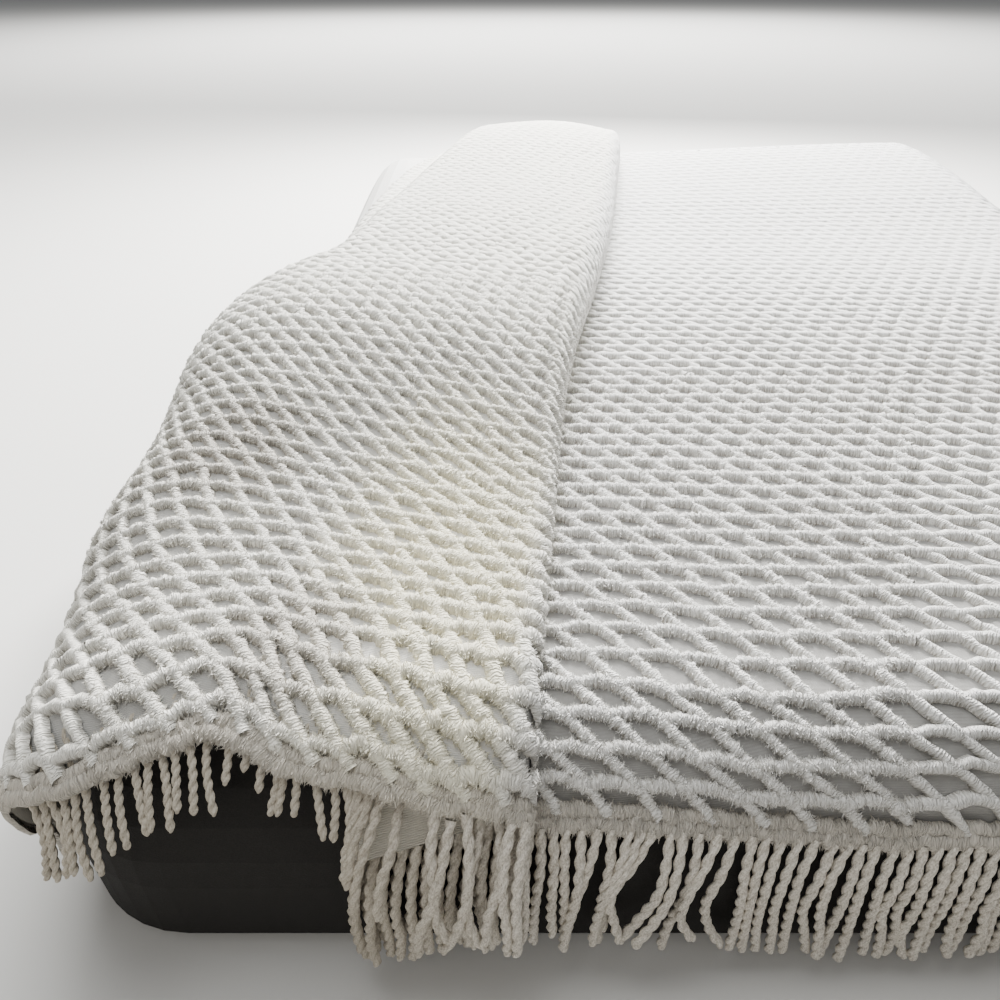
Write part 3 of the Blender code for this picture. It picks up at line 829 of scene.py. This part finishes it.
# The main cords that aren't in a table: how far they lean to the left at each quarter and how
# far their ends stand out, in millimetres, and the share of the length of those left of LEFT_OF.
PLAIN_LEAN, STAND_OUT = (5, 7, 6, 5), (5, 12)
LEFT_OF, LEFT_SHARE = -0.4, 0.93
# How much the offsets, in millimetres, and the lengths differ from cord to cord.
CORD_SPREAD, SHARE_SPREAD = (0.5, 1.2, 1.8, 2.6), (0.96, 1.03)
# Stretches across the bed where STRAY_CORDS has every cord, and where cords are seen.
STRAY_ACROSS, SEEN_CORDS = (-0.4027, -0.1435), (-0.95, -0.02)


def wander(offsets, s):
    """Offset along one cord, smooth through its four quarters, in metres."""
    table = np.concatenate([[0], offsets]) / 1000
    return smooth_read(np.linspace(0, 1, 5), table, s)


def all_cords():
    """Place along the hem, offsets by quarters, length, stand-out and tuck of every cord."""
    for place in np.arange(first_cord, last_cord, CORD_PITCH):
        across = np.interp(place, hem_run, rows[0, 0])
        loose = random.normal(0, 1, 4) * CORD_SPREAD
        share = random.uniform(*SHARE_SPREAD)
        if place > roll_at:
            row = [smooth_read(FLAP_CORDS[:, 0], column, across) for column in FLAP_CORDS.T[1:]]
            yield place, loose + row[:4], share * row[4], row[5], row[6] + random.normal(0, 2)
        elif (place > hem_run[first_side] + 0.01
              or not STRAY_ACROSS[0] < across < STRAY_ACROSS[1]):
            share = share * (LEFT_SHARE if across < LEFT_OF else 1.0)
            yield place, loose - PLAIN_LEAN, share, random.uniform(*STAND_OUT), 0.0
    for row in STRAY_CORDS:
        place = np.interp(-row[0], -rows[0, 0, :first_side], hem_run[:first_side])
        yield place, row[1:5], row[5], row[6], 0.0


cords = Tufts()
plain_cords = Tufts()
for place, offsets, share, stand, tuck in all_cords():
    at = [np.interp(place, hem_run, column) for column in rows[0]]
    path = cord_path(at, CORD_LENGTH * share, offsets, stand / 1000, tuck / 1000)
    seen = SEEN_CORDS[0] < at[0] < SEEN_CORDS[1]
    rings, sides = (58, 6) if seen else (26, 4)
    thick = 1 - THINNER * (place > roll_at) * smooth_step(*THINNER_ACROSS, at[0])
    for points, fibre in twist_cord(*path, random.uniform(0, 2 * pi), thick, rings, sides):
        (cords if seen else plain_cords).add(points, fibre)
cord_pieces = cords.pieces("cords", "fringe", replaces=("fringe",))
cord_pieces += plain_cords.pieces("side_cords", "fringe", replaces=("fringe",))

# %% [markdown]
# ## Cotton and mattress
#
# A small class keeps the shader maths readable: sums of sockets make the math nodes.

# %% Shader maths
class Wire:
    """A shader socket that can be added, multiplied and fed to other nodes."""

    def __init__(self, tree, socket):
        self.tree, self.socket = tree, socket

    def feed(self, socket, value):
        if isinstance(value, Wire):
            self.tree.links.new(value.socket, socket)
        else:
            socket.default_value = value

    def node(self, kind, settings=None, output=0, **inputs):
        """Any other node: its type, its settings, then its inputs by name."""
        made = self.tree.nodes.new(kind)
        for key, value in (settings or {}).items():
            setattr(made, key, value)
        for key, value in inputs.items():
            self.feed(made.inputs[key.replace("_", " ")], value)
        return Wire(self.tree, made.outputs[output])

    def maths(self, operation, first, second=0.0):
        made = self.tree.nodes.new("ShaderNodeMath")
        made.operation = operation
        self.feed(made.inputs[0], first)
        self.feed(made.inputs[1], second)
        return Wire(self.tree, made.outputs[0])

    def __add__(self, other):
        return self.maths("ADD", self, other)

    def __radd__(self, other):
        return self.maths("ADD", other, self)

    def __sub__(self, other):
        return self.maths("SUBTRACT", self, other)

    def __rsub__(self, other):
        return self.maths("SUBTRACT", other, self)

    def __mul__(self, other):
        return self.maths("MULTIPLY", self, other)

    def __rmul__(self, other):
        return self.maths("MULTIPLY", other, self)


def new_material(name, roughness):
    """A material, a wire to start from and its surface node."""
    material = bpy.data.materials.new(name)
    material.use_nodes = True
    tree = material.node_tree
    surface = tree.nodes["Principled BSDF"]
    surface.inputs["Roughness"].default_value = roughness
    surface.inputs["Specular IOR Level"].default_value = 0.15
    return material, Wire(tree, None), surface


def fibre_mark(start):
    """Where a point lies along and across its yarn."""
    return start.node("ShaderNodeAttribute", {"attribute_name": "fibre"}, output=1)


def object_place(start):
    """Where a point lies on the part."""
    return start.node("ShaderNodeTexCoord", output=3)


def clamped(start, value):
    return start.node("ShaderNodeClamp", Value=value)


def split(start, vector):
    """The three parts of a vector wire."""
    made = start.tree.nodes.new("ShaderNodeSeparateXYZ")
    start.tree.links.new(vector.socket, made.inputs[0])
    return [Wire(start.tree, output) for output in made.outputs]


def mix_colour(start, factor, one, other):
    """A colour between two, as a wire."""
    made = start.tree.nodes.new("ShaderNodeMix")
    made.data_type = "RGBA"
    start.feed(made.inputs[0], factor)
    start.feed(made.inputs[6], one)
    start.feed(made.inputs[7], other)
    return Wire(start.tree, made.outputs[2])


def finish_surface(start, surface, colour, height, distance):
    """Feeds a colour and a bump into the surface node."""
    start.feed(surface.inputs["Base Color"], colour)
    bump = start.node("ShaderNodeBump", Height=height, Strength=1.0, Distance=distance)
    start.feed(surface.inputs["Normal"], bump)


# %% [markdown]
# The cloth isn't one colour. Up the bed its painted shade evens out and it is painted lighter. It is
# creamy, with a painted highlight, in a patch of the flap. By the hem its tufts are painted greyer as
# shade and its ground lighter, and two spots of the flap have painted shadow, so its finishes ask
# where a point lies.

# %% Places on the cloth
def soft_spot(start, x, y, centre, reach):
    """1 at the centre of an oval spot, 0 outside it."""
    far_x = (x - centre[0]) * (1 / reach[0])
    far_y = (y - centre[1]) * (1 / reach[1])
    return clamped(start, 1.1 - (far_x * far_x + far_y * far_y))


def places(start):
    """How far a point lies up the bed, on the flap, in its creamy patch, by the hem, and in two spots
    of painted shadow.
    """
    x, y, _ = split(start, object_place(start))
    flap = clamped(start, ((y + 1.0) * 0.16 - 0.40 - x) * 30.0)
    # A patch of the flap with a cream tint and a painted highlight.
    cream_and_highlight = flap * soft_spot(start, x, y, (-0.47, -0.90), (0.135, 0.34))
    # Up the bed the painted shade on the tufts fades out, and tufts and ground are painted lighter.
    risen = flap * clamped(start, (y + 0.56) * 4.0)
    afar = clamped(start, (y + 0.45) * 1.1 + risen * 0.42)
    # By the hem the tufts get painted shade, and the ground between them painted light.
    hem = clamped(start, (-0.985 - y) * 12.0 - flap * 0.3)
    # Two soft spots of painted shadow on the flap, where it dips away from the light.
    shadow_spots = (soft_spot(start, x, y, (-0.705, -0.68), (0.09, 0.10))
            + soft_spot(start, x, y, (-0.585, -0.94), (0.07, 0.07)))
    return afar, flap, cream_and_highlight, hem, shadow_spots * flap


def yarn_noise(start, fibre, stretch, detail):
    """Noise drawn out along the fibres."""
    x, y, z = split(start, fibre)
    spread = start.node("ShaderNodeCombineXYZ", X=x * stretch[0], Y=y * stretch[1],
                        Z=z * stretch[2])
    return start.node("ShaderNodeTexNoise", Vector=spread, Scale=1.0, Detail=detail,
                      Roughness=0.6)


# %% [markdown]
# Cut cotton is matt and nearly white. A sine around each ridge paints shade at its foot, and a
# cosine along it paints shade in the partings of its strands. The ridges of the heading face down
# and are painted darker and browner, as shade.

# %% Cotton tufts
WHITE, CREAM = (0.80, 0.79, 0.76, 1), (0.80, 0.757, 0.59, 1)
# Up the bed the tufts take FAR_WHITE evenly; by the hem and on the heading they are painted darker,
# as shade.
FAR_WHITE, HEM_SHADE = (0.63, 0.627, 0.615, 1), (0.60, 0.565, 0.50, 1)
HEADING_SHADE, TUFT_SHADE = (0.51, 0.462, 0.385, 1), (0.31, 0.29, 0.255, 1)

cotton, start, surface = new_material("cotton_tufts", 0.95)
fibre = fibre_mark(start)
streaks = yarn_noise(start, fibre, (1.3, 1.6, 3.0), 3.0)
afar, flap, cream_and_highlight, hem, shadow_spots = places(start)
strand, around, kind = split(start, fibre)
heading = clamped(start, (kind - 1.0) * 1000.0)
# Painted shade at the foot of each ridge and in the partings of its strands.
crown = start.maths("SINE", around * pi)
bends = yarn_noise(start, fibre, (0.35, 2.5, 0.0), 1.0)
slant = strand + around * 1.1 + bends * 3.0
parting = (0.5 - 0.5 * start.maths("COSINE", slant * (2 * pi))) * (1.0 - afar)
shade = 0.42 + 0.60 * crown - 0.30 * parting + (streaks - 0.5) * 2.5
# Painted light: the tufts are lighter up the bed, a little on the flap, and most in its creamy patch.
bright = afar * 0.65 + flap * 0.10 + cream_and_highlight * 0.26
# Painted shade by the hem, in the flap's two spots and on the heading.
shaded = hem * 0.08 + shadow_spots * 0.30 + heading * 0.18
tone = clamped(start, shade + bright - shaded)
white = mix_colour(start, afar, WHITE, FAR_WHITE)
base = mix_colour(start, flap * 0.28 + cream_and_highlight * 0.72, white, CREAM)
# Painted shade by the hem and in the two shadow spots of the flap.
wear_and_shade = mix_colour(start, hem * 0.62 + shadow_spots * 0.75, base, HEM_SHADE)
# The heading is painted darker and browner, as shade.
band = mix_colour(start, heading * 0.8, wear_and_shade, HEADING_SHADE)
dark = mix_colour(start, tone, TUFT_SHADE, band)
finish_surface(start, surface, dark, streaks - parting * 0.30, 0.0022)
print("tufts", len(cotton.node_tree.nodes), "nodes")

# %% [markdown]
# Between the ridges shows a plain weave, drawn by fine ribs both ways. It lies in the shade of
# the tufts, so it is painted grey as shade, and painted lighter by the hem, up the bed, on the flap
# and in its creamy patch.

# %% Ground weave
WARP_PITCH, WEFT_PITCH = 0.00075, 0.00110
WEAVE_SHADE, WEAVE_GREY = (0.19, 0.184, 0.172, 1), (0.40, 0.392, 0.375, 1)
WEAVE_HEM, WEAVE_PALE = (0.52, 0.50, 0.465, 1), (0.80, 0.785, 0.74, 1)

weave, start, surface = new_material("ground_weave", 0.95)
fibre = fibre_mark(start)
x, y, _ = split(start, fibre)
warp = start.maths("ABSOLUTE", start.maths("SINE", x * (pi / WARP_PITCH)))
weft = start.maths("ABSOLUTE", start.maths("SINE", y * (pi / WEFT_PITCH)))
threads = 0.45 * warp + 0.55 * weft
patchy = start.node("ShaderNodeTexNoise", Vector=fibre, Scale=160.0, Detail=3.0)
tone = clamped(start, threads * 0.7 + patchy * 0.5)
afar, flap, cream_and_highlight, hem, _ = places(start)
level = mix_colour(start, tone, WEAVE_SHADE, WEAVE_GREY)
# Painted light: the ground is lighter by the hem.
near = mix_colour(start, hem * 0.45, level, WEAVE_HEM)
# Painted light up the bed and on the flap, and a painted highlight in the creamy patch.
pale = clamped(start, afar * 0.6 + flap * 0.25 + cream_and_highlight * 0.75)
base = mix_colour(start, pale, near, WEAVE_PALE)
finish_surface(start, surface, base, threads, 0.0004)
print("ground weave", len(weave.node_tree.nodes), "nodes")

# %% [markdown]
# The yarn of a cord runs along its plies, so the noise is drawn out with them. The cords on the
# left, below the flap, are painted darker and greyer, as shade under the flap.

# %% Twisted cords
CORD_WHITE, CORD_GREY = (0.765, 0.72, 0.635, 1), (0.58, 0.53, 0.435, 1)
CORD_SHADE = (0.32, 0.28, 0.225, 1)

twisted, start, surface = new_material("cotton_cord", 0.95)
fibre = fibre_mark(start)
streaks = yarn_noise(start, fibre, (500.0, 14.0, 5.0), 3.0)
x, _, _ = split(start, object_place(start))
# Painted shade on the cords under the flap.
under = clamped(start, (-0.42 - x) * 9.0)
tone = clamped(start, 0.62 + (streaks - 0.5) * 2.6 - under * 0.10)
pale = mix_colour(start, under, CORD_WHITE, CORD_GREY)
base = mix_colour(start, tone, CORD_SHADE, pale)
finish_surface(start, surface, base, streaks, 0.0008)
print("cords", len(twisted.node_tree.nodes), "nodes")

# %% [markdown]
# The back of the cloth is a ribbed weave without tufts. It shows where the hem turns over.

# %% Wrong side
RIB_PITCH = 0.0013
BACK_SHADE, BACK_WHITE = (0.34, 0.315, 0.26, 1), (0.62, 0.585, 0.51, 1)

wrong_side, start, surface = new_material("wrong_side_weave", 0.95)
fibre = fibre_mark(start)
_, y, _ = split(start, fibre)
ribs = start.maths("ABSOLUTE", start.maths("SINE", y * (pi / RIB_PITCH)))
patchy = start.node("ShaderNodeTexNoise", Vector=fibre, Scale=220.0, Detail=3.0)
tone = clamped(start, 0.20 + ribs * 0.35 + patchy * 0.5)
base = mix_colour(start, tone, BACK_SHADE, BACK_WHITE)
finish_surface(start, surface, base, ribs, 0.0003)
print("wrong side", len(wrong_side.node_tree.nodes), "nodes")

# %% [markdown]
# The mattress is in plain ticking: dark low down and at the foot, behind the fringe, and pale
# along its upper edge farther up, where it lies beside the white cloth. The floor is pale too.

# %% Mattress and floor
TICKING_BLACK, TICKING_DARK = (0.016, 0.015, 0.014, 1), (0.030, 0.028, 0.026, 1)
TICKING_PALE, FLOOR_GREY = (0.62, 0.61, 0.58, 1), (0.70, 0.69, 0.66, 1)

ticking, start, surface = new_material("mattress_ticking", 0.9)
place = object_place(start)
grain = start.node("ShaderNodeTexNoise", Vector=place, Scale=900.0, Detail=2.0)
_, y, up = split(start, place)
upper = clamped(start, (up - 0.150) * 120.0)
pale = upper * clamped(start, (y + 0.80) * 10.0)
low = mix_colour(start, grain, TICKING_BLACK, TICKING_DARK)
base = mix_colour(start, pale, low, TICKING_PALE)
finish_surface(start, surface, base, grain, 0.0004)

plaster, start, surface = new_material("floor", 0.9)
surface.inputs["Base Color"].default_value = FLOOR_GREY
print("mattress", len(ticking.node_tree.nodes), "nodes")

# %% [markdown]
# Each piece gets its finish. The ground cloth has two, one for each side.

# %% Give the pieces their materials
for piece in ridges + fibres:
    piece.data.materials.append(cotton)
ground.data.materials.append(weave)
ground.data.materials.append(wrong_side)
for piece in cord_pieces:
    piece.data.materials.append(twisted)
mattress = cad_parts["mattress"]
mattress.data.materials.clear()
mattress.data.materials.append(ticking)
floor.data.materials.append(plaster)
print("materials on", len(ridges + fibres + cord_pieces) + 3, "objects")
